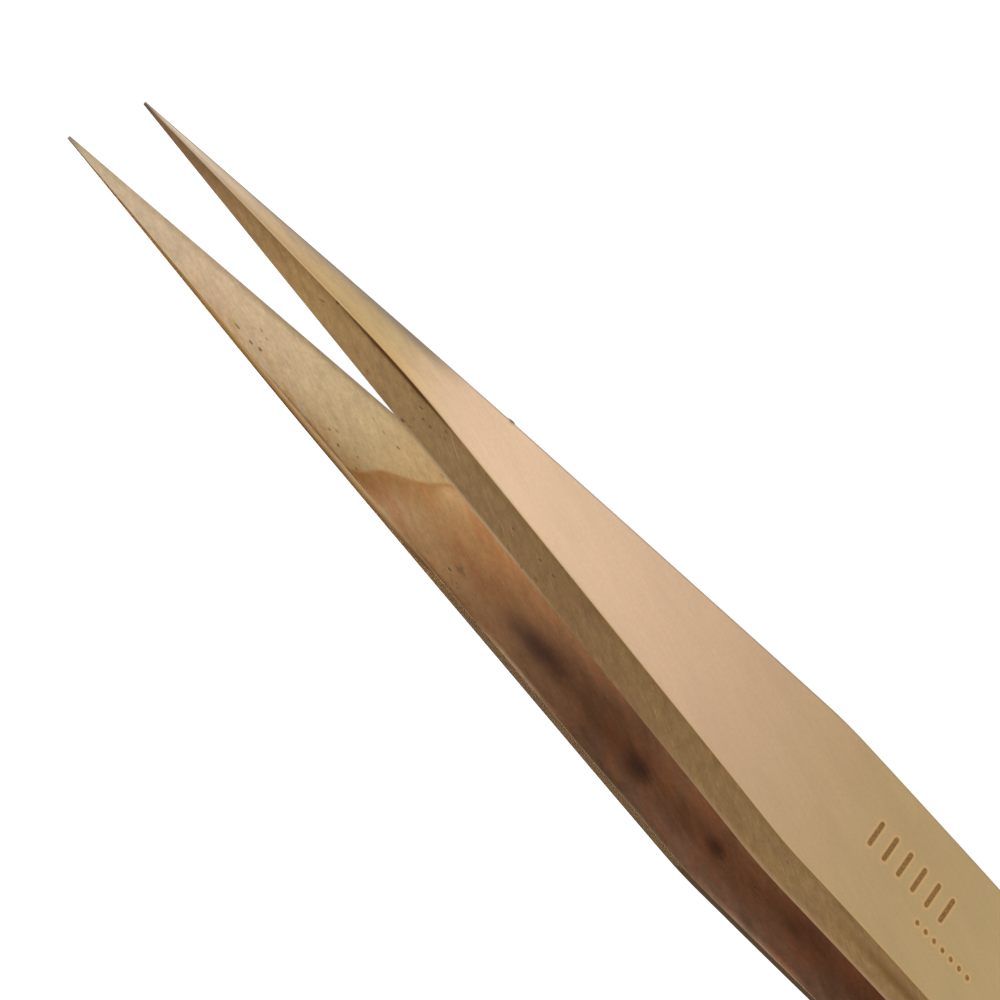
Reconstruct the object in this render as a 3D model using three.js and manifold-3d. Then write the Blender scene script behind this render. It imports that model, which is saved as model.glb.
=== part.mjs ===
// Fine-pointed tongs: two sprung arms of one pattern, riveted together at the tail through a spacer.
// Millimetres. +X runs to the points, +Y is the left arm's side, +Z is across the width of the arms.
// The tongs lie on the long lower edges of their arms, with the origin at the middle of the box's base.
import * as THREE from "three";
import { mergeVertices } from "three/addons/utils/BufferGeometryUtils.js";
import Module from "manifold-3d";

const wasm = await Module();
wasm.setup();

// ---- Driving dimensions. A station is a distance from the points towards the tail. ----

const LENGTH = 120;
const WIDTH = 10; // across an arm's inner face, which is its wide one

// The points, and the straight taper from the full width down to them.
const POINT_WIDTH = 0.2;
const POINT_THICKNESS = 0.12;
const TAPER_STATION = 49.4;
const TAPER_CORNER = 0.3; // how near the taper comes to the full width before it eases into it

// Thickness: ground down to the point, full at the fingers, and thinned at the tail so that it springs.
const GRIND_STATION = 17.8;
const GRIND_CORNER = 0.32; // how near the grind comes to the full thickness before it eases into it
const GRIP_THICKNESS = 1.6;
const SPRING_THICKNESS = 1.1;
const THINNING_STATIONS = [50, 95];

// Each long side is bevelled, so the outer face is narrower than the inner face.
const BEVEL_INSET = 0.545; // on each side, for each millimetre of thickness

// The clamp at the tail, where both arms lie flat on the spacer.
const CLAMP_STATION = 104;
const SPACER_THICKNESS = 1.2;
const SPACER_SETBACK = 0.6; // from the clamp's edge to the front of the spacer
const TAIL_CORNER_RADIUS = 2.2;

// An arm's bow: half the gap between the inner faces, and how fast it changes, at three stations.
const BOW = [
  { station: 0, half: 2.96, slope: -0.0157 },
  { station: 60, half: 2.06, slope: -0.0311 },
  { station: CLAMP_STATION, half: SPACER_THICKNESS / 2, slope: 0 },
];

// Each arm bends about this station, where its blade and its heel are separate solids.
const FLEX_STATION = 86;
const FLEX_GAP = 0.06;

// Flush rivets with a countersunk head at each end.
const RIVET_STATIONS = [108.4, 115];
const RIVET_RADIUS = 1;
const RIVET_HEAD_RADIUS = 1.6;
const RIVET_CLEARANCE = 0.02;
const RIVET_SIDES = 32;
const CUTTER_OVERRUN = 0.4;

const STATION_STEP = 2;
const FINE_STEP = 0.4; // through the eased corner at the taper's start
const FINE_REACH = 2.4; // how far it runs on each side of that corner
const CORNER_STEPS = 8;

const COLOURS = { arm: 0xc9a67e, spacer: 0xb08a62, rivet: 0xd2b48c };

// ---- An arm's section at a station ----

// The lower of two values, with the corner where they cross rounded off.
function easedMin(a, b, corner) {
  const overlap = Math.max(corner - Math.abs(a - b), 0);
  return Math.min(a, b) - (overlap * overlap) / (4 * corner);
}

// The Hermite cubic between the two stations of the bow around this one.
function halfGap(station) {
  const last = BOW.at(-1);
  if (station >= last.station) return last.half;
  const next = BOW.findIndex((knot) => knot.station > station);
  const [a, b] = [BOW[next - 1], BOW[next]];
  const span = b.station - a.station;
  const t = (station - a.station) / span;
  const rise = t * t * (3 - 2 * t);
  const leaving = t * (1 - t) * (1 - t) * a.slope;
  const arriving = t * t * (t - 1) * b.slope;
  return a.half + (b.half - a.half) * rise + span * (leaving + arriving);
}

function thickness(station) {
  const slope = (GRIP_THICKNESS - POINT_THICKNESS) / GRIND_STATION;
  const ground = POINT_THICKNESS + slope * station;
  const thinned = THREE.MathUtils.smoothstep(station, ...THINNING_STATIONS);
  const full = THREE.MathUtils.lerp(GRIP_THICKNESS, SPRING_THICKNESS, thinned);
  return easedMin(ground, full, GRIND_CORNER);
}

// Half the inner face's width: the taper, the full width, and the rounded corners of the tail.
function innerHalfWidth(station) {
  const slope = (WIDTH - POINT_WIDTH) / TAPER_STATION;
  const taper = POINT_WIDTH + slope * station;
  const half = easedMin(taper, WIDTH, TAPER_CORNER) / 2;
  const pastCorner = station - (LENGTH - TAIL_CORNER_RADIUS);
  if (pastCorner <= 0) return half;
  const rounded = Math.sqrt(Math.max(TAIL_CORNER_RADIUS ** 2 - pastCorner ** 2, 0));
  return half - TAIL_CORNER_RADIUS + rounded;
}

// Stations from one to another: even steps, fine ones round the taper's corner, and the tail's arcs.
function stationsBetween(from, to) {
  const stations = [from, to, CLAMP_STATION];
  for (let s = 0; s < LENGTH - TAIL_CORNER_RADIUS; s += STATION_STEP) {
    if (Math.abs(s - TAPER_STATION) > FINE_REACH) stations.push(s);
  }
  for (let s = -FINE_REACH; s <= FINE_REACH; s += FINE_STEP) stations.push(TAPER_STATION + s);
  for (let i = 0; i < CORNER_STEPS; i++) {
    const angle = (i / CORNER_STEPS) * (Math.PI / 2);
    stations.push(LENGTH - TAIL_CORNER_RADIUS * (1 - Math.sin(angle)));
  }
  const inside = stations.filter((s) => s >= from && s <= to).sort((a, b) => a - b);
  return inside.filter((s, i) => i === 0 || s - inside[i - 1] > FLEX_GAP / 2);
}

// ---- Solids ----

function toSolid(geometry) {
  const bare = geometry.clone();
  bare.deleteAttribute("normal");
  bare.deleteAttribute("uv");
  const merged = mergeVertices(bare);
  const vertProperties = merged.attributes.position.array;
  return new wasm.Manifold(new wasm.Mesh({ numProp: 3, vertProperties, triVerts: merged.index.array }));
}

function toGeometry(solid) {
  const mesh = solid.getMesh();
  const geometry = new THREE.BufferGeometry();
  geometry.setAttribute("position", new THREE.BufferAttribute(mesh.vertProperties, 3));
  geometry.setIndex(new THREE.BufferAttribute(mesh.triVerts, 1));
  return geometry;
}

// One arm between two stations: a long box whose rows of corners are moved out to the arm's section.
// side is +1 for the left arm and -1 for the right arm.
function armGeometry(side, from, to) {
  const stations = stationsBetween(from, to);
  const box = new THREE.BoxGeometry(1, 1, 1, stations.length - 1, 1, 1);
  const corner = box.attributes.position;
  for (let i = 0; i < corner.count; i++) {
    const row = Math.round((0.5 - corner.getX(i)) * (stations.length - 1));
    const station = stations[row];
    const thick = thickness(station);
    const isOuter = Math.sign(corner.getY(i)) === side;
    const half = innerHalfWidth(station) - (isOuter ? BEVEL_INSET * thick : 0);
    const y = halfGap(station) + (isOuter ? thick : 0);
    const z = WIDTH / 2 + Math.sign(corner.getZ(i)) * half;
    corner.setXYZ(i, LENGTH / 2 - station, side * y, z);
  }
  return box;
}

// The spacer fills the tail between the heels, with the same rounded corners.
function spacerGeometry() {
  const front = LENGTH / 2 - CLAMP_STATION - SPACER_SETBACK;
  const back = -LENGTH / 2;
  const r = TAIL_CORNER_RADIUS;
  const outline = new THREE.Shape();
  outline.moveTo(front, 0);
  outline.lineTo(front, WIDTH);
  outline.lineTo(back + r, WIDTH);
  outline.absarc(back + r, WIDTH - r, r, Math.PI / 2, Math.PI, false);
  outline.lineTo(back, r);
  outline.absarc(back + r, r, r, Math.PI, 1.5 * Math.PI, false);
  outline.closePath();
  const options = { depth: SPACER_THICKNESS, bevelEnabled: false, curveSegments: CORNER_STEPS };
  const geometry = new THREE.ExtrudeGeometry(outline, options);
  geometry.rotateX(Math.PI / 2);
  geometry.translate(0, SPACER_THICKNESS / 2, 0);
  return geometry;
}

// A rivet along Y, or with a clearance and an overrun past both faces, the cutter for its holes.
function rivetGeometry(station, clearance, overrun) {
  const end = SPACER_THICKNESS / 2 + SPRING_THICKNESS + overrun;
  const shank = RIVET_RADIUS + clearance;
  const head = RIVET_HEAD_RADIUS + clearance + overrun;
  const neck = end - (head - shank);
  const profile = [
    [0, -end],
    [head, -end],
    [shank, -neck],
    [shank, neck],
    [head, end],
    [0, end],
  ];
  const points = profile.map(([radius, y]) => new THREE.Vector2(radius, y));
  const geometry = new THREE.LatheGeometry(points, RIVET_SIDES);
  geometry.translate(LENGTH / 2 - station, 0, WIDTH / 2);
  return geometry;
}

function withRivetHoles(geometry) {
  const drill = (solid, station) =>
    solid.subtract(toSolid(rivetGeometry(station, RIVET_CLEARANCE, CUTTER_OVERRUN)));
  return toGeometry(RIVET_STATIONS.reduce(drill, toSolid(geometry)));
}

// ---- The assembly ----

const materials = {
  arm: new THREE.MeshStandardMaterial({ color: COLOURS.arm, metalness: 1, roughness: 0.4 }),
  spacer: new THREE.MeshStandardMaterial({ color: COLOURS.spacer, metalness: 1, roughness: 0.5 }),
  rivet: new THREE.MeshStandardMaterial({ color: COLOURS.rivet, metalness: 1, roughness: 0.35 }),
};

const tongs = new THREE.Group();

function addPiece(name, geometry, material) {
  const mesh = new THREE.Mesh(geometry, material.clone());
  mesh.name = name;
  tongs.add(mesh);
}

for (const [name, side] of [["left_arm", 1], ["right_arm", -1]]) {
  const blade = armGeometry(side, 0, FLEX_STATION - FLEX_GAP / 2);
  const heel = armGeometry(side, FLEX_STATION + FLEX_GAP / 2, LENGTH);
  addPiece(`${name}_blade`, blade, materials.arm);
  addPiece(`${name}_heel`, withRivetHoles(heel), materials.arm);
}
addPiece("tail_spacer", withRivetHoles(spacerGeometry()), materials.spacer);
for (const [i, station] of RIVET_STATIONS.entries()) {
  addPiece(`${["front", "rear"][i]}_rivet`, rivetGeometry(station, 0, 0), materials.rivet);
}

export default tongs;
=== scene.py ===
import math

import bmesh
import bpy
import numpy as np
from mathutils import Matrix, Vector, noise


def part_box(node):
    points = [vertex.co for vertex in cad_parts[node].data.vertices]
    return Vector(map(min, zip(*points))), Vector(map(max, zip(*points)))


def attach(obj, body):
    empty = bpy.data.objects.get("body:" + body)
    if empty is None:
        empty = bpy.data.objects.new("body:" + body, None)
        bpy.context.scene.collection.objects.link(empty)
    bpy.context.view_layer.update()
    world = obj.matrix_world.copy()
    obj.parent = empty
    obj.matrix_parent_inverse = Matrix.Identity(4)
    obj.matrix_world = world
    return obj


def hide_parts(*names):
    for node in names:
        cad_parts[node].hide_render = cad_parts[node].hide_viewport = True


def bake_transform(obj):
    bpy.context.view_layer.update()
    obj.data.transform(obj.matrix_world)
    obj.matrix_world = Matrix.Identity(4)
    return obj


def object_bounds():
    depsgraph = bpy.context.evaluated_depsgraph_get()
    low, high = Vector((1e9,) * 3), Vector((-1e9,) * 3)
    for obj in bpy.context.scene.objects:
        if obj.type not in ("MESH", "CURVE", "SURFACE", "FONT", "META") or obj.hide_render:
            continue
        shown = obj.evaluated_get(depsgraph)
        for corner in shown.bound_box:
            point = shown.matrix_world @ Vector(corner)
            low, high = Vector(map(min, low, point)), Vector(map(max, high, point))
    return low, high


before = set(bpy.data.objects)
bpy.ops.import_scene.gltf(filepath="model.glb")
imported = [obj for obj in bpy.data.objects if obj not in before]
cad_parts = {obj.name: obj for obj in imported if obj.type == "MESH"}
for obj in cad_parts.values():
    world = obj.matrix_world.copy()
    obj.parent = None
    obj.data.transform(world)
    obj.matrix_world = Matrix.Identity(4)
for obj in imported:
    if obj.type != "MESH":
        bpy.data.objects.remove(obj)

# The looks of a pair of fine-pointed tongs in satin copper-beryllium. Blender works in metres, and the
# sizes of details are in millimetres. Places along an arm are stations: millimetres from the points
# towards the tail.
MM = 0.001
CAD_LOW, CAD_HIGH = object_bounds()
POINTS_X = CAD_HIGH.x / MM
TAIL_X = CAD_LOW.x / MM
MID_Z = (CAD_LOW.z + CAD_HIGH.z) / 2 / MM
LENGTH = POINTS_X - TAIL_X

# ---- Shape of the arms beyond what the CAD solids say ----
FRONT_STEP = 0.2  # between the rings of the mesh, over the front of an arm
REAR_STEP = 0.4
FRONT_REACH = 70.0
INNER_ROWS = 26
SIDE_ROWS = 12
OUTER_ROWS = 26
CORNER_ROWS = 4
TAIL_REACH = 3.0  # of the tail's rounded corners, where the rings are finer
TAIL_ROWS = 24
EDGE_SHARE = 0.3  # the most of a face that the rounding of an edge may take
INNER_EDGE_RADIUS = 0.03
OUTER_EDGE_RADIUS = 0.05
CROWN = 0.15  # height of the ground point's crown, as a share of the outer face's width
CROWN_STATIONS = (13.0, 21.5)  # where the crown starts to fade, and where the face is flat
BURR_STATIONS = (12.5, 16.5, 19.0, 23.0)  # a lip stands over the bevel along the crease here
BURR_DEPTH = 0.05
BURR_HOLLOW = 0.14  # from the crease to the middle of the hollow under the lip
BURR_SPREAD = 0.09
WAVE_HEIGHT = 0.012
WAVE_LENGTH = 8.0  # along the arm
WAVE_BREADTH = 5.0 / 1.3  # across it
WAVE_FACE_OFFSET = 7.3  # so that each face has its own waves
WAVE_FADE = 6.0  # over this much behind the points
WAVE_CLAMP_FADE = 4.0  # over this much in front of the bend's start
NICK_STATION = 24.3
NICK_HEIGHT = 0.09
NICK_REACH = 0.16
NICK_SLANT = 0.6  # how far it moves the crease sideways, as a share of its height

# ---- Where an arm bends, as stations ----
BEND_START = 104.0


def smoothstep(low, high, value):
    """0 below low, 1 above high, and an even ease between them."""
    t = np.clip((np.asarray(value, float) - low) / (high - low), 0, 1)
    return t * t * (3 - 2 * t)


# ---- The arms ----


class ArmProfile:
    """The section of one arm at any station, read from its CAD solids."""

    HOLE_REACH = 1.9  # the rivet holes lie within this of the arm's middle

    def __init__(self, name):
        corners = {}
        for node in (f"{name}_blade", f"{name}_heel"):
            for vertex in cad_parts[node].data.vertices:
                x, y, z = vertex.co / MM
                if node.endswith("_heel") and abs(z - MID_Z) < self.HOLE_REACH:
                    continue
                corners.setdefault(round(POINTS_X - x, 3), []).append((abs(y), abs(z - MID_Z)))
        self.side = math.copysign(1, y)
        self.stations = np.array(sorted(corners))
        rows = []
        for station in self.stations:
            ys = [y for y, _ in corners[station]]
            middle = (min(ys) + max(ys)) / 2
            inner_half = max(z for y, z in corners[station] if y <= middle)
            outer_half = max(z for y, z in corners[station] if y >= middle)
            rows.append((min(ys), max(ys) - min(ys), inner_half, outer_half))
        self.values = np.array(rows)
        self.slopes = np.gradient(self.values, self.stations, axis=0)

    def at(self, station):
        """Half the gap, the thickness, and half the width of the inner and of the outer face."""
        last = len(self.stations) - 2
        i = int(np.clip(np.searchsorted(self.stations, station) - 1, 0, last))
        span = self.stations[i + 1] - self.stations[i]
        t = (station - self.stations[i]) / span
        rise = t * t * (3 - 2 * t)
        leaving = t * (1 - t) ** 2 * span
        arriving = t * t * (t - 1) * span
        step = self.values[i + 1] - self.values[i]
        return self.values[i] + step * rise + self.slopes[i] * leaving + self.slopes[i + 1] * arriving


def arm_stations():
    """The stations of the mesh's rings, from the points to the tail."""
    front = np.arange(0, FRONT_REACH, FRONT_STEP)
    rear = np.arange(FRONT_REACH, LENGTH - TAIL_REACH, REAR_STEP)
    corner = np.linspace(LENGTH - TAIL_REACH, LENGTH, TAIL_ROWS)
    return np.concatenate([front, rear, corner])


def section(profile, station):
    """One ring of points as (depth, across, zone, crease, edge) rows.

    depth runs from the inner face outwards and across runs towards +Z. zone is the share of outer, bevel
    and inner face. crease is the distance to the outer crease and edge the distance to the inner edge.
    """
    _, thick, inner_half, outer_half = profile.at(station)
    corners = [(0.0, inner_half), (thick, outer_half), (thick, -outer_half), (0.0, -inner_half)]
    zones = [(0, 1, 0), (1, 0, 0), (0, 1, 0), (0, 0, 1)]  # of the stretch after each corner
    rows = [SIDE_ROWS, OUTER_ROWS, SIDE_ROWS, INNER_ROWS]
    crown = CROWN * 2 * outer_half * (1 - smoothstep(*CROWN_STATIONS, station))
    a, b, c, d = BURR_STATIONS
    burr = BURR_DEPTH * smoothstep(a, b, station) * (1 - smoothstep(c, d, station))
    points = []
    for k in range(4):
        here = np.array(corners[k])
        after = np.array(corners[(k + 1) % 4])
        before = np.array(corners[k - 1])
        radius = INNER_EDGE_RADIUS if k in (0, 3) else OUTER_EDGE_RADIUS
        behind, ahead = np.linalg.norm(before - here), np.linalg.norm(after - here)
        reach = min(radius, EDGE_SHARE * ahead, EDGE_SHARE * behind)
        towards_before = here + (before - here) / behind * reach
        towards_after = here + (after - here) / ahead * reach
        for i in range(CORNER_ROWS + 1):
            t = i / CORNER_ROWS
            point = (1 - t) ** 2 * towards_before + 2 * t * (1 - t) * here + t * t * towards_after
            zone = (1 - t) * np.array(zones[k - 1]) + t * np.array(zones[k])
            points.append((point, zone, k, 0.0))
        following = min(radius, EDGE_SHARE * ahead)
        stop = after + (here - after) / ahead * following
        for i in range(1, rows[k]):
            t = i / rows[k]
            point = towards_after + (stop - towards_after) * t
            points.append((point, np.array(zones[k]), k, 4 * t * (1 - t)))
    return finish_ring(points, thick, inner_half, outer_half, crown, burr)


def finish_ring(points, thick, inner_half, outer_half, crown, burr):
    """The ring's rows with the crown and the burr worked in."""
    slant = math.hypot(thick, inner_half - outer_half)
    ring = []
    for point, zone, k, arch in points:
        depth, across = point
        share = depth / thick if thick else 0
        crease = (1 - share) * slant if zone[1] > 0.5 else max(outer_half - abs(across), 0)
        edge = share * slant if zone[1] > 0.5 else max(inner_half - abs(across), 0)
        if k == 1 and arch > 0:
            depth += crown * arch
        if zone[1] > 0.5 and burr:
            hollow = burr * math.exp(-(((crease - BURR_HOLLOW) / BURR_SPREAD) ** 2))
            across -= math.copysign(hollow, across)
        ring.append((depth, across, zone, crease, edge))
    return ring


def waviness(station, across, face):
    """Slight hand-ground unevenness, in millimetres."""
    place = Vector((station / WAVE_LENGTH, across / WAVE_BREADTH, face * WAVE_FACE_OFFSET))
    return WAVE_HEIGHT * noise.noise(place)


def arm_mesh(name):
    """One arm as a single closed mesh with its places kept as attributes for the material."""
    profile = ArmProfile(name)
    side = profile.side
    bm = bmesh.new()
    place = bm.verts.layers.float_vector.new("place")
    zone_layer = bm.verts.layers.float_vector.new("zone")
    rim = bm.verts.layers.float_vector.new("rim")
    rings = []
    for station in arm_stations():
        gap = profile.at(station)[0]
        clamped = smoothstep(BEND_START - WAVE_CLAMP_FADE, BEND_START, station)
        fade = smoothstep(0, WAVE_FADE, station) * (1 - clamped)
        ring = []
        for depth, across, zone, crease, edge in section(profile, station):
            lift = fade * waviness(station, across, side * (1 + zone[0] - zone[2]))
            nick = NICK_HEIGHT * math.exp(-(((station - NICK_STATION) / NICK_REACH) ** 2))
            at_crease = math.exp(-((crease / NICK_REACH) ** 2)) * (side < 0) * (across < 0)
            out = depth + lift * (zone[0] - zone[2]) + nick * at_crease
            off = across * (1 + lift * zone[1] / max(abs(across), 0.5)) - NICK_SLANT * nick * at_crease
            x = POINTS_X - station
            vertex = bm.verts.new(Vector((x, side * (gap + out), MID_Z + off)) * MM)
            vertex[place] = (station, across, depth)
            vertex[zone_layer] = zone
            vertex[rim] = (crease, edge, math.copysign(1, across))
            ring.append(vertex)
        rings.append(ring)
    for low, high in zip(rings, rings[1:]):
        for i in range(len(low)):
            j = (i + 1) % len(low)
            bm.faces.new((low[i], low[j], high[j], high[i]))
    bm.faces.new(rings[0])
    bm.faces.new(rings[-1])
    bmesh.ops.recalc_face_normals(bm, faces=bm.faces)
    mesh = bpy.data.meshes.new(name)
    bm.to_mesh(mesh)
    bm.free()
    mesh.shade_smooth()
    return mesh


def add_object(name, mesh, material):
    piece = bpy.data.objects.new(name, mesh)
    bpy.context.scene.collection.objects.link(piece)
    piece.data.materials.append(material)
    return piece


def station_point(station):
    """The point on the tongs' middle line at a station, in metres."""
    return (POINTS_X * MM - station * MM, 0.0, MID_Z * MM)


def build_arm(name, material):
    arm = add_object(f"{name}_strip", arm_mesh(name), material)
    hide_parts(f"{name}_blade", f"{name}_heel")
    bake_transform(arm)


# ---- Shader nodes ----


def srgb(red, green, blue):
    """A colour given in 0 to 255 sRGB, as linear RGBA."""

    def linear(value):
        value /= 255
        return value / 12.92 if value <= 0.04045 else ((value + 0.055) / 1.055) ** 2.4

    return (linear(red), linear(green), linear(blue), 1.0)


class Shader:
    """A material whose nodes are added one call at a time. A value can be a socket or a plain number."""

    def __init__(self, name):
        self.material = bpy.data.materials.new(name)
        self.material.use_nodes = True
        self.nodes = self.material.node_tree.nodes
        self.links = self.material.node_tree.links
        self.bsdf = self.nodes["Principled BSDF"]

    def set(self, socket, value):
        if isinstance(value, bpy.types.NodeSocket):
            self.links.new(value, socket)
        else:
            socket.default_value = value

    def math(self, operation, *values, clamp=False):
        node = self.nodes.new("ShaderNodeMath")
        node.operation = operation
        node.use_clamp = clamp
        for socket, value in zip(node.inputs, values):
            self.set(socket, value)
        return node.outputs[0]

    def attribute(self, name):
        node = self.nodes.new("ShaderNodeAttribute")
        node.attribute_name = name
        return node.outputs["Vector"]

    def split(self, vector):
        node = self.nodes.new("ShaderNodeSeparateXYZ")
        self.set(node.inputs[0], vector)
        return node.outputs[0], node.outputs[1], node.outputs[2]

    def join(self, *values):
        node = self.nodes.new("ShaderNodeCombineXYZ")
        for socket, value in zip(node.inputs, values):
            self.set(socket, value)
        return node.outputs[0]

    def noise(self, vector, size, angle=0.0, seed=0.0, detail=2.0, roughness=0.5):
        """Noise from 0 to 1. Its grains have a size in millimetres and a turn in degrees."""
        placed = self.nodes.new("ShaderNodeMapping")
        placed.vector_type = "TEXTURE"
        self.set(placed.inputs["Vector"], vector)
        placed.inputs["Scale"].default_value = size
        placed.inputs["Rotation"].default_value = (0.0, 0.0, math.radians(angle))
        placed.inputs["Location"].default_value = (seed, seed, seed)
        node = self.nodes.new("ShaderNodeTexNoise")
        self.set(node.inputs["Vector"], placed.outputs[0])
        node.inputs["Scale"].default_value = 1.0
        node.inputs["Detail"].default_value = detail
        node.inputs["Roughness"].default_value = roughness
        return node.outputs["Fac"]

    def dots(self, vector, size):
        """The distance to the nearest of some scattered points, as a share of their spacing."""
        placed = self.nodes.new("ShaderNodeMapping")
        placed.vector_type = "TEXTURE"
        self.set(placed.inputs["Vector"], vector)
        placed.inputs["Scale"].default_value = size
        node = self.nodes.new("ShaderNodeTexVoronoi")
        self.set(node.inputs["Vector"], placed.outputs[0])
        node.inputs["Scale"].default_value = 1.0
        return node.outputs["Distance"]

    def ramp(self, value, low, high, to_low=0.0, to_high=1.0):
        """value from low to high, eased, as to_low to to_high."""
        node = self.nodes.new("ShaderNodeMapRange")
        node.interpolation_type = "SMOOTHSTEP"
        self.set(node.inputs["Value"], value)
        node.inputs["From Min"].default_value = low
        node.inputs["From Max"].default_value = high
        node.inputs["To Min"].default_value = to_low
        node.inputs["To Max"].default_value = to_high
        return node.outputs[0]

    def tones(self, station, stops):
        """A colour that changes along the arm through (station, colour) stops."""
        node = self.nodes.new("ShaderNodeValToRGB")
        ramp = node.color_ramp
        ramp.interpolation = "CARDINAL"
        for i, (at, colour) in enumerate(stops):
            share = at / LENGTH
            element = ramp.elements[i] if i < 2 else ramp.elements.new(share)
            element.position = share
            element.color = colour
        self.set(node.inputs["Fac"], self.math("DIVIDE", station, LENGTH))
        return node.outputs["Color"]

    def mix(self, factor, first, second, blend="MIX"):
        node = self.nodes.new("ShaderNodeMix")
        node.data_type = "RGBA"
        node.blend_type = blend
        node.clamp_factor = True
        self.set(node.inputs[0], factor)
        self.set(node.inputs[6], first)
        self.set(node.inputs[7], second)
        return node.outputs[2]

    def shade(self, colour, value, low, high):
        """The colour made brighter or darker: times low where value is 0 and times high where it is 1."""
        node = self.nodes.new("ShaderNodeVectorMath")
        node.operation = "SCALE"
        self.set(node.inputs[0], colour)
        gain = self.math("ADD", low, self.times(value, high - low))
        self.set(node.inputs["Scale"], gain)
        return node.outputs[0]

    def times(self, *values):
        product = values[0]
        for value in values[1:]:
            product = self.math("MULTIPLY", product, value)
        return product

    def invert(self, value):
        return self.math("SUBTRACT", 1.0, value, clamp=True)

    def distance(self, x, y):
        return self.math("SQRT", self.math("ADD", self.times(x, x), self.times(y, y)))

    def blob(self, along, across, centre, size):
        """1 at a centre, fading to 0 at the edge of an ellipse."""
        x = self.math("DIVIDE", self.math("SUBTRACT", along, centre[0]), size[0])
        y = self.math("DIVIDE", self.math("SUBTRACT", across, centre[1]), size[1])
        return self.ramp(self.distance(x, y), 1.0, 0.0)

    def bump(self, height, distance):
        node = self.nodes.new("ShaderNodeBump")
        self.set(node.inputs["Height"], height)
        node.inputs["Distance"].default_value = distance
        return node.outputs[0]


# ---- Materials ----

ARM_ROUGHNESS = 0.35
BUMP_DEPTH = 0.008

# Tones of the metal, in round values
ASH = srgb(205, 190, 170)
ROSE = srgb(205, 175, 145)
AMBER = srgb(210, 170, 115)
PALE = srgb(190, 165, 135)
BRONZE = srgb(190, 155, 110)
FAWN = srgb(185, 160, 130)
STRAW = srgb(185, 160, 120)
TAN = srgb(185, 155, 125)
FLAX = srgb(180, 160, 130)
HONEY = srgb(180, 145, 100)
OCHRE = srgb(175, 150, 110)
DUSK = srgb(170, 135, 95)
OLIVE = srgb(165, 140, 100)
LOAM = srgb(160, 130, 100)
UMBER = srgb(155, 115, 100)

# The tone of each kind of face, as (station, tone): the last one runs on to the tail
OUTER_TONES = [
    (0, ASH),
    (8, FAWN),
    (16, OCHRE),
    (21, ROSE),
    (29, ROSE),
    (42, TAN),
    (56, OLIVE),
    (80, OCHRE),
]
BEVEL_TONES = [(0, UMBER), (10, AMBER), (20, BRONZE), (32, DUSK), (48, HONEY)]
INNER_TONES = [(0, FLAX), (10, PALE), (21, STRAW), (27, HONEY), (36, DUSK), (45, LOAM), (50, TAN)]

# Painted shade: a grey, darker reflection on the ground point's −Z flank and along the outer face's −Z
# crease
CROWN_SHADE_GREY = srgb(126, 112, 96)
# Painted golden reflection and highlight on the ground point's +Z flank and along its +Z crease
GOLDEN_SHEEN = srgb(180, 148, 98)
TIP_GREY = srgb(120, 104, 92)
BEVEL_OLIVE = srgb(158, 126, 80)
BEVEL_RED = srgb(182, 136, 98)
# Worn scratches on the bevel, and a painted highlight along its inner edge towards the rear
BEVEL_WORN_AND_HIGHLIGHT = srgb(226, 190, 148)
# Painted highlight along the bevel's inner edge behind the points
BEVEL_EDGE_HIGHLIGHT = srgb(246, 216, 176)
BEVEL_STRIPE = srgb(134, 94, 54)
# Painted shade along the outer crease
CREASE_SHADE = srgb(104, 62, 34)
INNER_GOLD = srgb(172, 136, 88)
INNER_RIM = srgb(140, 120, 90)
INNER_LINE = srgb(160, 114, 66)
INNER_BLUSH = srgb(170, 118, 80)
# Painted light: a multiplier that makes the inner face paler and less red towards its +Z edge
INNER_OPEN_LIGHT = (1.4, 1.65, 2.05, 1.0)
# Painted shade: a multiplier that makes the inner face redder and darker towards −Z
INNER_BOUNCE_SHADE = (0.9, 0.72, 0.62, 1.0)
STAIN = srgb(92, 72, 68)
PIT = srgb(100, 74, 50)
MARK_BROWN = srgb(104, 70, 36)
MARK_HALO = srgb(190, 150, 94)
NICK_GREY = srgb(84, 76, 66)
EDGE_TINT = (0.03, 0.02, 0.01, 1.0)
FRONT_EDGE_TINT = (0.6, 0.55, 0.5, 1.0)
# Painted shade on the unmarked arm's +Z bevel behind the points
EDGE_BAND_SHADE = srgb(136, 116, 94)
SPACER_PALE = srgb(190, 150, 108)
SPACER_DARK = srgb(164, 122, 82)
SPACER_ROUGHNESS = 0.45
RIVET_PALE = srgb(196, 166, 128)
RIVET_DARK = srgb(180, 148, 108)
RIVET_RIM = srgb(112, 84, 54)
RIVET_ROUGHNESS = 0.38

BLOTCHES = [
    # station, across, reach along, reach across, strength: smears of stain on the inner faces
    (35.4, 1.6, 3.6, 1.1, 0.8),
    (36.4, 1.2, 5.0, 1.9, 0.3),
    (43.5, 2.5, 1.6, 1.0, 0.8),
    (42.0, 2.1, 4.4, 2.0, 0.25),
    (49.6, 2.6, 1.2, 0.8, 0.7),
    (48.6, 2.2, 3.6, 1.6, 0.2),
    (56.5, 2.2, 3.5, 1.4, 0.4),
    (29.4, 1.6, 0.5, 0.35, 0.5),
]

PIT_ZONES = [
    # station, across, reach along, reach across: where pits crowd together
    (13.4, 0.5, 2.6, 1.0),
    (20.5, 1.6, 2.5, 1.2),
    (29.2, 2.4, 3.2, 1.6),
]

MARK_ROWS = [
    # first station, across, pitch, count, stroke width, stroke height, slant: etched in the outer face
    (53.2, -0.6, 1.2, 6, 0.32, 1.75, 0.15),
    (58.2, 1.35, 0.72, 7, 0.3, 0.3, 0.0),
]


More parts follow.
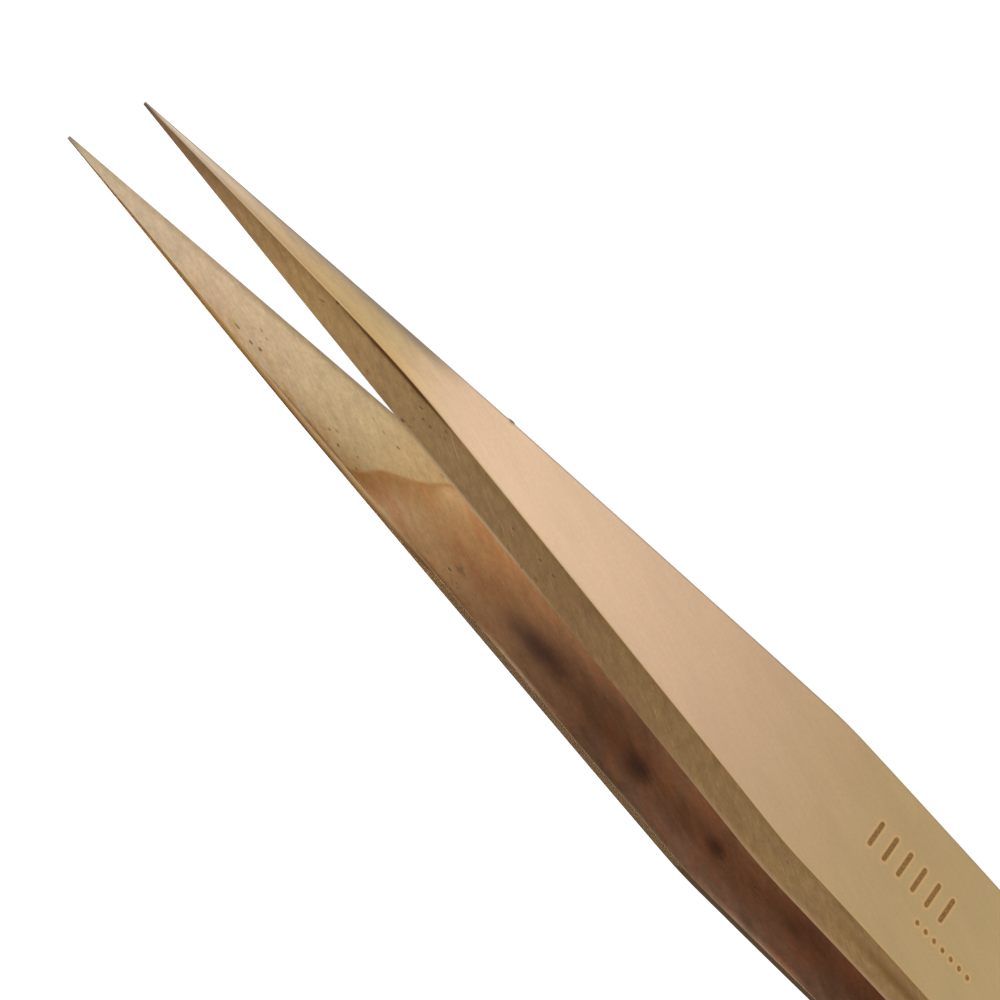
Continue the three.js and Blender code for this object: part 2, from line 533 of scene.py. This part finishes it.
def mark_mask(shader, along, across, grow):
    """Rows of short etched strokes with round ends: 1 inside a stroke, each grown by a margin."""
    total = 0.0
    for first, middle, pitch, count, width, height, slant in MARK_ROWS:
        shifted = shader.math("ADD", along, shader.times(across, slant))
        phase = shader.math("DIVIDE", shader.math("SUBTRACT", shifted, first), pitch)
        sideways = shader.times(shader.math("SUBTRACT", shader.math("FRACT", phase), 0.5), pitch)
        off_row = shader.math("ABSOLUTE", shader.math("SUBTRACT", across, middle))
        beyond = shader.math("MAXIMUM", shader.math("SUBTRACT", off_row, (height - width) / 2), 0.0)
        reach = width / 2 + grow
        stroke = shader.ramp(shader.distance(sideways, beyond), reach + 0.05, reach - 0.05)
        started = shader.math("GREATER_THAN", phase, 0.0)
        ended = shader.math("LESS_THAN", phase, float(count))
        total = shader.math("MAXIMUM", total, shader.times(stroke, started, ended))
    return total


def outer_face(s, place, along, across, crease):
    """The pale outer face: brushed grain, with a flank of painted grey shade and a flank of painted
    golden reflection where the point is ground.
    """
    brushed = s.noise(place, (2.2, 0.09, 1.0), angle=16, detail=3.0)
    cloud = s.noise(place, (5.0, 1.6, 2.0), angle=16, seed=3.1, detail=3.0)
    speckle = s.noise(place, (0.16, 0.14, 0.2), seed=5.7, detail=2.0)
    smears = s.noise(place, (1.3, 0.3, 1.0), angle=5, seed=8.8, detail=3.0, roughness=0.6)
    colour = s.tones(along, OUTER_TONES)
    ground = s.ramp(along, 22.0, 17.5)
    colour = s.shade(colour, s.times(ground, s.math("SUBTRACT", smears, 0.5)), 1.0, 1.5)
    # Painted shade on the crown's −Z flank (below) and painted golden reflection on its +Z flank (above)
    below = s.times(ground, s.ramp(across, 0.1, -0.7), s.ramp(crease, 0.9, 0.05))
    above = s.times(ground, s.ramp(across, -0.1, 0.6), s.ramp(crease, 0.9, 0.05))
    colour = s.mix(s.times(below, 0.9), colour, CROWN_SHADE_GREY)
    # Painted light: the +Z flank is made brighter behind the very point
    colour = s.shade(colour, s.times(above, s.ramp(along, 5.0, 10.0)), 1.0, 1.25)
    colour = s.mix(s.times(above, s.ramp(smears, 0.35, 0.65, 0.3, 0.7)), colour, GOLDEN_SHEEN)
    # Painted highlight: a golden line along the +Z crease
    rim = s.times(s.ramp(crease, 0.2, 0.0), s.ramp(along, 14.0, 20.0, 0.0, 0.55))
    colour = s.mix(s.times(rim, s.ramp(across, 0.0, 0.1)), colour, GOLDEN_SHEEN)
    # Painted shade: a grey line along the −Z crease
    colour = s.mix(s.times(s.ramp(crease, 0.12, 0.0), s.ramp(across, 0.0, -0.1), 0.8), colour, CROWN_SHADE_GREY)
    colour = s.shade(colour, brushed, 0.95, 1.05)
    colour = s.shade(colour, cloud, 0.92, 1.08)
    return s.shade(colour, speckle, 0.93, 1.07)


def bevel_face(s, along, crease, edge, upper):
    """The duller bevel: slanting grinding streaks, a crease darkened with painted shade, scratches worn
    bright, and a painted highlight along the inner edge in places.
    """
    place = s.join(along, edge, s.times(upper, 7.0))
    streaks = s.noise(place, (1.0, 0.09, 1.0), angle=-18, detail=3.0, roughness=0.6)
    patches = s.noise(place, (2.4, 0.5, 1.0), angle=-12, seed=2.3, detail=4.0, roughness=0.65)
    mottle = s.noise(place, (0.5, 0.24, 1.0), angle=-18, seed=8.5, detail=3.0, roughness=0.6)
    speckle = s.noise(place, (0.14, 0.1, 1.0), seed=4.9, detail=1.0)
    scratches = s.noise(place, (1.6, 0.07, 1.0), angle=-22, seed=12.1, detail=1.0)
    colour = s.tones(along, BEVEL_TONES)
    colour = s.mix(s.ramp(patches, 0.4, 0.7, 0.0, 0.55), colour, BEVEL_OLIVE)
    colour = s.mix(s.ramp(patches, 0.55, 0.3, 0.0, 0.4), colour, BEVEL_RED)
    colour = s.mix(s.ramp(crease, 0.5, 0.0, 0.0, 0.6), colour, BEVEL_OLIVE)
    colour = s.shade(colour, streaks, 0.8, 1.2)
    colour = s.shade(colour, patches, 0.62, 1.38)
    colour = s.shade(colour, mottle, 0.72, 1.28)
    colour = s.shade(colour, speckle, 0.92, 1.08)
    scored = s.times(s.ramp(scratches, 0.66, 0.74), s.ramp(patches, 0.45, 0.6))
    colour = s.mix(s.times(scored, 0.5), colour, BEVEL_WORN_AND_HIGHLIGHT)
    # Painted highlight: a thin bright line along the inner edge towards the rear
    rear = s.times(s.ramp(edge, 0.3, 0.02), s.ramp(along, 36.0, 50.0))
    colour = s.mix(s.times(rear, 0.5), colour, BEVEL_WORN_AND_HIGHLIGHT)
    # Painted highlight: a pale line along the inner edge behind the points
    front = s.times(s.ramp(edge, 0.2, 0.06), s.ramp(along, 18.5, 22.0), s.ramp(along, 34.0, 27.0))
    colour = s.mix(s.times(front, 0.5), colour, BEVEL_EDGE_HIGHLIGHT)
    share = s.math("DIVIDE", edge, s.math("MAXIMUM", s.math("ADD", edge, crease), 0.01))
    aside = s.math("ABSOLUTE", s.math("SUBTRACT", share, 0.62))
    stripe = s.times(s.ramp(aside, 0.26, 0.0), s.ramp(along, 52.0, 60.0), s.ramp(along, 80.0, 66.0))
    colour = s.mix(s.times(stripe, 0.7), colour, BEVEL_STRIPE)
    # Painted shade: a dark line along the crease, wider and darker where the burr's lip overhangs it
    lip = s.times(s.ramp(along, 12.5, 16.5), s.ramp(along, 23.0, 19.0))
    reach = s.math("ADD", s.times(lip, 0.17), 0.05)
    line = s.ramp(s.math("DIVIDE", crease, reach), 1.25, 0.6)
    return s.mix(s.times(line, s.math("ADD", s.times(lip, 0.45), 0.45)), colour, CREASE_SHADE)


def inner_face(s, place, along, across, edge):
    """The inner face: cloudy and mottled, with a crisp change of tone and stains behind it, painted light
    near its +Z edge and painted reddish shade towards −Z.
    """
    cloud = s.noise(place, (1.6, 0.6, 1.0), angle=18, detail=4.0, roughness=0.6)
    wisps = s.noise(place, (0.7, 0.11, 1.0), angle=24, seed=7.7, detail=3.0)
    mottle = s.noise(place, (0.34, 0.24, 1.0), seed=3.3, detail=3.0, roughness=0.6)
    speckle = s.noise(place, (0.13, 0.1, 1.0), seed=1.9, detail=1.0)
    drift = s.noise(place, (3.6, 2.0, 1.0), seed=6.1, detail=0.0)
    blush = s.noise(place, (2.4, 0.9, 1.0), angle=24, seed=14.2, detail=1.5)
    wander = s.times(s.math("SUBTRACT", drift, 0.5), 1.7)
    boundary = s.math("ADD", s.math("ADD", along, s.times(across, 1.5)), wander)
    beyond = s.math("SUBTRACT", boundary, 24.3)
    shifted = s.math("ADD", along, s.times(s.ramp(beyond, -0.3, 0.5), 3.0))
    colour = s.tones(shifted, INNER_TONES)

    front = s.ramp(along, 31.0, 24.0)
    upper_edge = s.times(s.ramp(edge, 1.2, 0.05), s.ramp(across, 0.0, 0.2))
    tinge = s.times(upper_edge, s.ramp(along, 7.0, 13.0), front, s.ramp(cloud, 0.4, 0.6))
    colour = s.mix(s.times(tinge, 0.85), colour, INNER_GOLD)
    lower_edge = s.times(s.ramp(edge, 0.5, 0.0), s.ramp(across, 0.0, -0.2))
    colour = s.mix(s.times(lower_edge, s.ramp(along, 3.0, 17.0, 0.3, 0.9)), colour, INNER_RIM)

    length = s.ramp(across, -1.5, 0.1, 0.5, 3.4)
    blurred = s.math("ADD", beyond, s.times(s.math("SUBTRACT", wisps, 0.5), 0.3))
    faded = s.ramp(s.math("DIVIDE", beyond, length), 1.0, 0.1)
    line = s.times(s.ramp(blurred, -0.15, 0.25), faded, s.ramp(cloud, 0.35, 0.6, 0.5, 0.95))
    colour = s.mix(line, colour, INNER_LINE)
    behind = s.times(s.ramp(beyond, 0.3, 1.0), s.ramp(along, 36.0, 28.0))
    colour = s.shade(colour, s.times(behind, s.ramp(across, -0.7, -1.7)), 1.0, 1.22)
    colour = s.mix(s.times(behind, s.ramp(blush, 0.45, 0.65), 0.55), colour, INNER_BLUSH)

    rear = s.ramp(along, 32.0, 42.0)
    colour = s.mix(s.times(rear, s.ramp(blush, 0.45, 0.68), 0.35), colour, INNER_BLUSH)
    colour = s.shade(colour, s.times(rear, s.math("SUBTRACT", blush, 0.5)), 1.0, 1.9)
    for station, off, reach_along, reach_across, strength in BLOTCHES:
        drawn = s.math("ADD", along, s.times(s.math("SUBTRACT", mottle, 0.5), 0.8))
        spot = s.blob(drawn, across, (station, off), (reach_along, reach_across))
        colour = s.mix(s.times(spot, strength), colour, STAIN)
    # Painted light: paler and less red near the +Z edge behind the change of tone
    open_light = s.times(s.ramp(edge, 2.4, 0.5), s.ramp(edge, 0.0, 0.4, 0.85, 1.0), s.ramp(across, 0.0, 0.3))
    open_light = s.times(open_light, s.ramp(beyond, 0.2, 3.4))
    colour = s.mix(open_light, colour, INNER_OPEN_LIGHT, "MULTIPLY")
    # Painted shade: redder and darker towards −Z behind the points, like light bounced between the arms
    bounce_shade = s.times(s.ramp(across, 1.8, -1.2), s.ramp(along, 26.0, 31.0))
    colour = s.mix(bounce_shade, colour, INNER_BOUNCE_SHADE, "MULTIPLY")
    colour = s.shade(colour, cloud, 0.78, 1.22)
    colour = s.shade(colour, wisps, 0.84, 1.16)
    colour = s.shade(colour, mottle, 0.8, 1.2)
    return s.shade(colour, speckle, 0.92, 1.08)


def pits(s, place, along, across, outer):
    """Small dark pits, thick in a few zones and sparse elsewhere, with almost none on the outer face."""
    crowded = 0.0
    for station, off, reach_along, reach_across in PIT_ZONES:
        zone = s.blob(along, across, (station, off), (reach_along, reach_across))
        crowded = s.math("MAXIMUM", crowded, zone)
    sparse = s.ramp(s.noise(place, (6.0, 2.5, 2.5), seed=11.0), 0.56, 0.7, 0.0, 0.5)
    allowed = s.times(s.math("MAXIMUM", crowded, sparse), s.invert(s.times(outer, 0.9)))
    ragged = s.noise(place, (0.3, 0.14, 0.14), seed=2.7, detail=2.0)
    reach = s.math("ADD", s.dots(place, (0.8, 0.34, 0.4)), s.times(s.math("SUBTRACT", ragged, 0.5), 0.5))
    return s.times(s.ramp(reach, 0.24, 0.08), s.ramp(allowed, 0.2, 0.6))


def arm_material(name, marked):
    """Satin copper-beryllium, from the places along and across the arm that its mesh carries."""
    s = Shader(name)
    place = s.attribute("place")
    along, across, _ = s.split(place)
    outer, bevel, inner = s.split(s.attribute("zone"))
    crease, edge, upper = s.split(s.attribute("rim"))

    outward = outer_face(s, place, along, across, crease)
    faces = s.mix(inner, outward, inner_face(s, place, along, across, edge))
    side = bevel_face(s, along, crease, edge, upper)
    # Painted shade on the unmarked arm: its +Z bevel behind the points is made darker and greyer, and its
    # bumps are flattened there
    upper_band_shade = 0.0
    if not marked:
        upper_band_shade = s.times(s.ramp(along, 22.0, 32.0), s.ramp(upper, -0.1, 0.1), bevel)
        side = s.mix(s.times(upper_band_shade, 0.94), side, EDGE_BAND_SHADE)
    colour = s.mix(bevel, faces, side)
    pitted = pits(s, place, along, across, outer)
    colour = s.mix(s.times(pitted, 0.6), colour, PIT)
    colour = s.mix(s.ramp(along, 1.3, 0.0, 0.0, 0.7), colour, TIP_GREY)

    cloud = s.noise(place, (1.2, 0.6, 0.6), seed=9.2, detail=3.0)
    grain = s.noise(place, (0.12, 0.08, 0.08), seed=6.6, detail=2.0)
    roughness = s.math("ADD", ARM_ROUGHNESS, s.times(s.math("SUBTRACT", cloud, 0.5), 0.12))
    roughness = s.math("ADD", roughness, s.times(bevel, 0.12))
    roughness = s.math("ADD", roughness, s.times(pitted, 0.2))
    texture = s.math("ADD", s.times(grain, 0.5), s.times(cloud, 0.4))
    height = s.math("SUBTRACT", texture, s.times(pitted, 0.8))
    height = s.times(height, s.ramp(bevel, 0.0, 1.0, 1.0, 0.4), s.invert(upper_band_shade))

    if marked:
        halo = s.times(mark_mask(s, along, across, 0.16), outer)
        strokes = s.times(mark_mask(s, along, across, 0.0), outer)
        colour = s.mix(s.times(halo, 0.5), colour, MARK_HALO)
        colour = s.mix(s.times(strokes, s.ramp(grain, 0.3, 0.7, 0.6, 0.9)), colour, MARK_BROWN)
        nick = s.blob(along, crease, (NICK_STATION, 0.0), (2.0 * NICK_REACH, 1.4 * NICK_REACH))
        colour = s.mix(s.times(nick, s.ramp(upper, 0.1, -0.1)), colour, NICK_GREY)
        roughness = s.math("ADD", roughness, s.times(strokes, 0.15))
        height = s.math("SUBTRACT", height, s.times(strokes, 1.5))

    s.set(s.bsdf.inputs["Base Color"], colour)
    s.set(s.bsdf.inputs["Roughness"], roughness)
    s.set(s.bsdf.inputs["Normal"], s.bump(height, BUMP_DEPTH * MM))
    clean = s.times(s.ramp(crease, 0.3, 1.5), s.ramp(along, 29.0, 23.0))
    glancing = s.mix(clean, EDGE_TINT, FRONT_EDGE_TINT)
    s.set(s.bsdf.inputs["Specular Tint"], s.mix(bevel, (1.0, 1.0, 1.0, 1.0), glancing))
    s.bsdf.inputs["Metallic"].default_value = 1.0
    return s.material


def plain_metal(name, pale, dark, roughness, ringed=False):
    """Satin metal for the small pieces at the tail, with a darker rim if it is for a round head."""
    s = Shader(name)
    node = s.nodes.new("ShaderNodeTexCoord")
    place = s.join(*[s.math("DIVIDE", value, MM) for value in s.split(node.outputs["Object"])])
    mottle = s.noise(place, (1.1, 0.7, 0.7), detail=3.0, roughness=0.6)
    grain = s.noise(place, (0.08, 0.06, 0.06))
    colour = s.mix(s.ramp(mottle, 0.3, 0.7), pale, dark)
    if ringed:
        rim, _, _ = s.split(s.attribute("rim"))
        colour = s.mix(s.ramp(rim, 0.86, 0.97, 0.0, 0.8), colour, RIVET_RIM)
    s.set(s.bsdf.inputs["Base Color"], s.shade(colour, grain, 0.93, 1.07))
    varied = s.math("ADD", roughness, s.times(s.math("SUBTRACT", mottle, 0.5), 0.15))
    s.set(s.bsdf.inputs["Roughness"], varied)
    s.set(s.bsdf.inputs["Normal"], s.bump(s.times(grain, 0.5), BUMP_DEPTH * MM))
    s.bsdf.inputs["Metallic"].default_value = 1.0
    return s.material


# ---- The tail ----

SPACER_INSET = 0.08
SPACER_CORNER_RADIUS = 2.2
SPACER_CORNER_STEPS = 12
SPACER_EDGE = 0.06
RIVET_DOME = 0.06
RIVET_DOME_STEPS = 8
RIVET_CHAMFER = 0.01
RIVET_SHANK = 0.62  # of the head's radius
RIVET_HEAD_START = 0.6  # of the way from the rivet's middle to its end
RIVET_RING_ROWS = 48


def build_spacer(material):
    """The spacer, a little inside the arms' edges, with its edges broken."""
    low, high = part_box("tail_spacer")
    inset = SPACER_INSET * MM
    radius = SPACER_CORNER_RADIUS * MM - inset
    left, right = low.x + inset, high.x
    bottom, top = low.z + inset, high.z - inset
    outline = [(right, bottom), (right, top)]
    for centre_z, start in ((top - radius, 90), (bottom + radius, 180)):
        for i in range(SPACER_CORNER_STEPS + 1):
            angle = math.radians(start + 90 * i / SPACER_CORNER_STEPS)
            x = left + radius + radius * math.cos(angle)
            outline.append((x, centre_z + radius * math.sin(angle)))
    bm = bmesh.new()
    face = bm.faces.new([bm.verts.new((x, low.y, z)) for x, z in outline])
    extruded = bmesh.ops.extrude_face_region(bm, geom=[face])
    moved = [v for v in extruded["geom"] if isinstance(v, bmesh.types.BMVert)]
    bmesh.ops.translate(bm, verts=moved, vec=(0, high.y - low.y, 0))
    bmesh.ops.recalc_face_normals(bm, faces=bm.faces)
    mesh = bpy.data.meshes.new("spacer_plate")
    bm.to_mesh(mesh)
    bm.free()
    spacer = add_object("spacer_plate", mesh, material)
    bevel = spacer.modifiers.new("broken edges", "BEVEL")
    bevel.width = SPACER_EDGE * MM
    bevel.segments = 3
    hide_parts("tail_spacer")
    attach(spacer, "tail")


def build_rivet(node, material):
    """A rivet with a slightly domed head on each side."""
    low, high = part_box(node)
    centre = (low + high) / 2
    radius, end = (high.x - low.x) / 2, high.y - centre.y
    shank = radius * RIVET_SHANK
    dome = RIVET_DOME * MM
    profile = [(shank, 0.0), (shank, end * RIVET_HEAD_START), (radius, end - RIVET_CHAMFER * MM)]
    for i in range(1, RIVET_DOME_STEPS + 1):
        t = i / RIVET_DOME_STEPS
        profile.append((radius * (1 - t), end + dome * (1 - (1 - t) ** 4)))
    outline = [(r, -y) for r, y in reversed(profile[1:])] + profile
    bm = bmesh.new()
    rim = bm.verts.layers.float_vector.new("rim")
    rings = []
    for r, y in outline:
        ring = []
        for i in range(RIVET_RING_ROWS if r > 0 else 1):
            angle = 2 * math.pi * i / RIVET_RING_ROWS
            x, z = centre.x + r * math.cos(angle), centre.z + r * math.sin(angle)
            vertex = bm.verts.new((x, centre.y + y, z))
            vertex[rim] = (r / radius, 0.0, 0.0)
            ring.append(vertex)
        rings.append(ring)
    for low_ring, high_ring in zip(rings, rings[1:]):
        for i in range(RIVET_RING_ROWS):
            j = (i + 1) % RIVET_RING_ROWS
            corners = [low_ring[i % len(low_ring)], low_ring[j % len(low_ring)]]
            corners += [high_ring[j % len(high_ring)], high_ring[i % len(high_ring)]]
            bm.faces.new(list(dict.fromkeys(corners)))
    bmesh.ops.recalc_face_normals(bm, faces=bm.faces)
    mesh = bpy.data.meshes.new(node)
    bm.to_mesh(mesh)
    bm.free()
    mesh.shade_smooth()
    rivet = add_object(f"{node}_domed", mesh, material)
    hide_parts(node)
    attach(rivet, "tail")


# ---- Camera, floor and light ----

CAMERA_AZIMUTH = 27.04
CAMERA_ELEVATION = 35.18
CAMERA_ROLL = -150.42
CAMERA_DISTANCE = 268.3
CAMERA_LENS = 198.0
CAMERA_AIM_STATION = 27.3
CAMERA_AIM_Y = -1.45
CAMERA_SENSOR = 36.0
CAMERA_CLIP = (0.01, 20.0)  # metres
FLOOR_SIZE = 12.0  # metres
FLOOR_GAP = 0.00002  # metres, from the part down to the floor
FLOOR_GREY = 0.25
FLOOR_GLOW = 0.85
TENT_COLOUR = (1.0, 0.99, 0.97, 1)
TENT_HORIZON = 0.15  # the height, on a sphere of radius 1, up to which the tent is brightest
TENT_OVERHEAD = 0.95
TENT_BRIGHT = 1.15
TENT_DIM = 0.5
# Distance and size in metres, power in watts
KEY_LAMP = {"azimuth": 27, "elevation": 37, "distance": 0.9, "size": 0.5, "power": 10.0}


def direction(azimuth, elevation):
    """The direction from the object to a place at that azimuth and elevation."""
    a, e = math.radians(azimuth), math.radians(elevation)
    return Vector((math.sin(a) * math.cos(e), -math.cos(a) * math.cos(e), math.sin(e)))


def build_camera():
    data = bpy.data.cameras.new("camera")
    camera = bpy.data.objects.new("camera", data)
    bpy.context.scene.collection.objects.link(camera)
    bpy.context.scene.camera = camera
    back = direction(CAMERA_AZIMUTH, CAMERA_ELEVATION)
    aim = Vector(station_point(CAMERA_AIM_STATION)) + Vector((0, CAMERA_AIM_Y * MM, 0))
    level = back.to_track_quat("Z", "Y").to_matrix()
    turned = level @ Matrix.Rotation(math.radians(CAMERA_ROLL), 3, "Z")
    camera.matrix_world = Matrix.Translation(aim + back * CAMERA_DISTANCE * MM) @ turned.to_4x4()
    data.sensor_width = CAMERA_SENSOR
    data.lens = CAMERA_LENS
    data.clip_start, data.clip_end = CAMERA_CLIP


def build_floor():
    """A pale floor that glows a little, as a light table does, so that shadows on it stay faint."""
    bpy.ops.mesh.primitive_plane_add(size=FLOOR_SIZE, location=(0, 0, CAD_LOW.z - FLOOR_GAP))
    floor = bpy.context.object
    floor.name = "floor"
    s = Shader("pale floor")
    s.bsdf.inputs["Base Color"].default_value = (FLOOR_GREY, FLOOR_GREY, FLOOR_GREY, 1)
    s.bsdf.inputs["Emission Color"].default_value = (1.0, 1.0, 1.0, 1)
    s.bsdf.inputs["Emission Strength"].default_value = FLOOR_GLOW
    s.bsdf.inputs["Roughness"].default_value = 0.9
    s.bsdf.inputs["Specular IOR Level"].default_value = 0.1
    floor.data.materials.append(s.material)


def build_world():
    """A light tent, bright towards the horizon and dimmer overhead."""
    world = bpy.data.worlds.new("tent")
    bpy.context.scene.world = world
    world.use_nodes = True
    nodes, links = world.node_tree.nodes, world.node_tree.links
    place = nodes.new("ShaderNodeTexCoord")
    split = nodes.new("ShaderNodeSeparateXYZ")
    links.new(place.outputs["Generated"], split.inputs[0])
    ramp = nodes.new("ShaderNodeMapRange")
    ramp.interpolation_type = "SMOOTHSTEP"
    links.new(split.outputs["Z"], ramp.inputs["Value"])
    ramp.inputs["From Min"].default_value = TENT_HORIZON
    ramp.inputs["From Max"].default_value = TENT_OVERHEAD
    ramp.inputs["To Min"].default_value = TENT_BRIGHT
    ramp.inputs["To Max"].default_value = TENT_DIM
    background = nodes["Background"]
    background.inputs["Color"].default_value = TENT_COLOUR
    links.new(ramp.outputs[0], background.inputs["Strength"])


def build_light(name, azimuth, elevation, distance, size, power):
    data = bpy.data.lights.new(name, "AREA")
    data.shape = "SQUARE"
    data.size = size
    data.energy = power
    lamp = bpy.data.objects.new(name, data)
    lamp.visible_camera = False
    lamp.visible_glossy = False
    bpy.context.scene.collection.objects.link(lamp)
    towards = direction(azimuth, elevation)
    lamp.location = towards * distance
    lamp.rotation_mode = "QUATERNION"
    lamp.rotation_quaternion = towards.to_track_quat("Z", "Y")


def build_studio():
    build_camera()
    build_floor()
    build_world()
    build_light("key", **KEY_LAMP)
    bpy.context.scene.view_settings.view_transform = "Standard"
    bpy.context.scene.view_settings.look = "None"


build_studio()
build_arm("left_arm", arm_material("arm metal", marked=False))
build_arm("right_arm", arm_material("marked arm metal", marked=True))
build_spacer(plain_metal("spacer metal", SPACER_PALE, SPACER_DARK, SPACER_ROUGHNESS))
rivet_metal = plain_metal("rivet metal", RIVET_PALE, RIVET_DARK, RIVET_ROUGHNESS, ringed=True)
for rivet_node in ("front_rivet", "rear_rivet"):
    build_rivet(rivet_node, rivet_metal)
